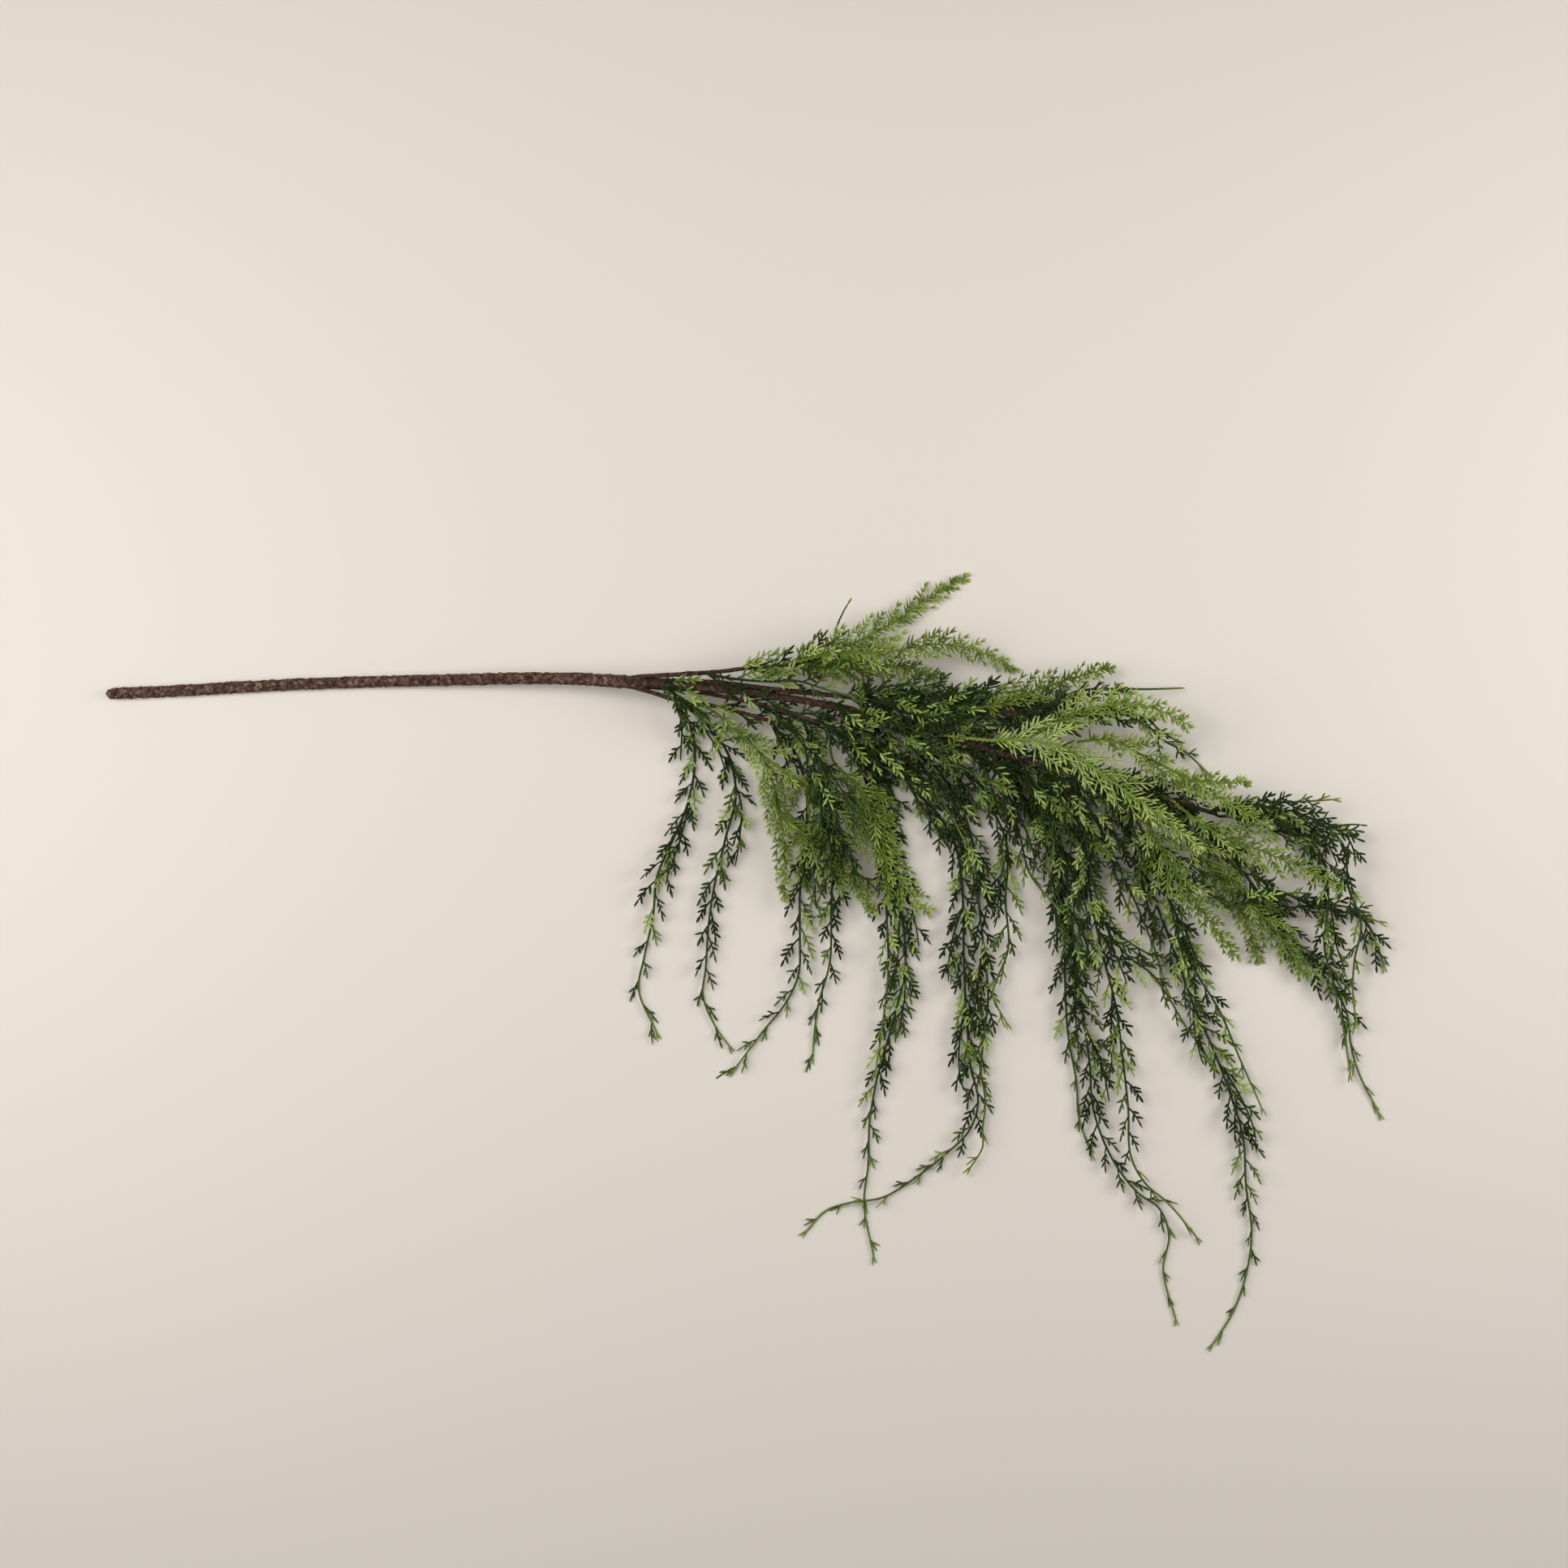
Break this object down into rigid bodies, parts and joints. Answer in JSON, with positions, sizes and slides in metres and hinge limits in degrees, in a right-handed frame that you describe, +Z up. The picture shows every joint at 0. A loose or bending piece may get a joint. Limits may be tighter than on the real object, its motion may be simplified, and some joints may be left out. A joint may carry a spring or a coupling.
{
  "type": "artificial cedar branch",
  "caption": "Long bare bark-covered stem that forks into thin twigs with trailing cedar strands and feathery needle sprays, lying flat.",
  "frame": {"origin": "middle of the footprint, on the surface that the branch lies on", "axes": "+X along the stem, from its cut end towards the foliage; +Y across it, away from the trailing strands; +Z up"},
  "size_m": [0.9002, 0.541, 0.0737],
  "materials": {
    "bark": "rough bark",
    "scale_leaves": "matte, pale at the tips",
    "needles": "satin"
  },
  "bodies": {
    "root": {"stem": "bark", "upper_twig": "bark", "main_twig": "bark", "second_twig": "bark", "middle_twig": "bark", "lower_twig": "bark", "strand_1": "scale_leaves", "strand_2": "scale_leaves", "strand_3": "scale_leaves", "strand_4": "scale_leaves", "strand_5": "scale_leaves", "strand_6": "scale_leaves", "strand_7": "scale_leaves", "strand_8": "scale_leaves", "strand_9": "scale_leaves", "strand_10": "scale_leaves", "strand_11": "scale_leaves", "strand_12": "scale_leaves", "strand_13": "scale_leaves", "strand_14": "scale_leaves", "strand_15": "scale_leaves", "strand_16": "scale_leaves", "strand_17": "scale_leaves", "strand_18": "scale_leaves", "strand_19": "scale_leaves", "strand_20": "scale_leaves", "strand_21": "scale_leaves", "strand_22": "scale_leaves", "strand_23": "scale_leaves", "strand_24": "scale_leaves", "strand_25": "scale_leaves", "strand_26": "scale_leaves", "strand_27": "scale_leaves", "strand_28": "scale_leaves", "strand_29": "scale_leaves", "strand_30": "scale_leaves", "strand_31": "scale_leaves", "needles_1": "needles", "needles_2": "needles", "needles_3": "needles", "needles_4": "needles", "needles_5": "needles", "needles_6": "needles", "needles_7": "needles", "needles_8": "needles", "needles_9": "needles", "needles_10": "needles", "needles_11": "needles", "needles_12": "needles", "needles_13": "needles", "needles_14": "needles", "needles_15": "needles", "needles_16": "needles"}
  },
  "joints": []
}
